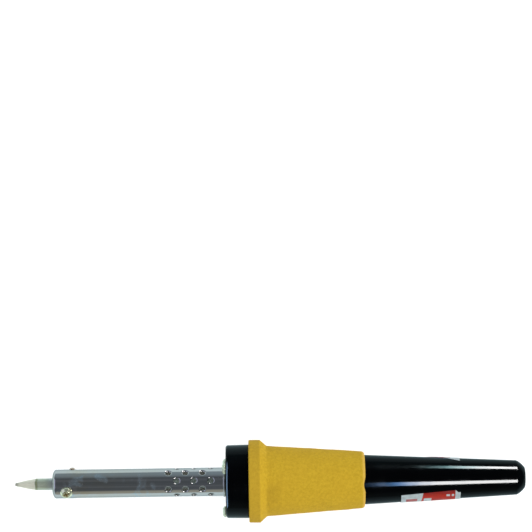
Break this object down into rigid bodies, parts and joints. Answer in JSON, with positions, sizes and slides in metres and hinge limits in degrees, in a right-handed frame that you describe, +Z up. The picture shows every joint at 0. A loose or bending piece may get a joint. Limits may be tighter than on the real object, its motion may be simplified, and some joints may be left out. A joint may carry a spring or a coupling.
{
  "type": "soldering iron",
  "caption": "Mains soldering iron with a clamped pointed tip, a vented metal barrel, a black collar and handle, and a yellow foam grip.",
  "frame": {"origin": "centre of the iron's box in plan, on the bench that the iron lies on", "axes": "+X towards the handle's cord end, with the tip at -X; +Z up. The iron's own axis rises 7.9 degrees towards +X, because it rests on the grip's flare and on the barrel's nose"},
  "size_m": [0.2682, 0.0434, 0.0498],
  "materials": {
    "tip_plating": "satin",
    "chrome": "polished",
    "plain_steel": "satin",
    "brass": "polished",
    "zinc_plate": "gloss",
    "resistance_wire": "satin",
    "ceramic": "matte",
    "mica": "satin",
    "glass_sleeving": "matte",
    "black_plastic": "gloss",
    "yellow_foam": "matte",
    "white_nylon": "satin",
    "green_wire": "satin",
    "black_rubber": "matte",
    "label_film": "satin"
  },
  "bodies": {
    "iron": {"barrel": "chrome", "tip_holder": "plain_steel", "holder_rivet": "brass", "heater_core": "ceramic", "heater_winding": "resistance_wire", "mica_sleeve": "mica", "ceramic_insulator": "ceramic", "lead_wire_1": "resistance_wire", "lead_wire_2": "resistance_wire", "lead_sleeve_1": "glass_sleeving", "lead_sleeve_2": "glass_sleeving", "terminal_block": "white_nylon", "terminal_insert_1": "brass", "terminal_insert_2": "brass", "terminal_insert_3": "brass", "terminal_screw_1": "zinc_plate", "terminal_screw_2": "zinc_plate", "terminal_screw_3": "zinc_plate", "terminal_screw_4": "zinc_plate", "terminal_screw_5": "zinc_plate", "terminal_screw_6": "zinc_plate", "flange_plate": "plain_steel", "flange_screw_1": "zinc_plate", "flange_screw_2": "zinc_plate", "flange_screw_3": "zinc_plate", "earth_tag": "brass", "earth_wire": "green_wire", "handle": "black_plastic", "grip": "yellow_foam", "cord_inlet_bush": "black_rubber", "label": "label_film"},
    "tip": {"soldering_tip": "tip_plating"},
    "clamp_screw": {"tip_screw": "brass"}
  },
  "joints": [
    {"name": "tip_slide", "type": "slide", "parent": "iron", "child": "tip", "axis": [-0.9905, 0, -0.1377], "range_m": [0, 0.042]},
    {"name": "tip_screw_out", "type": "slide", "parent": "iron", "child": "clamp_screw", "axis": [-0.1128, -0.5736, 0.8113], "range_m": [0, 0.003]}
  ]
}
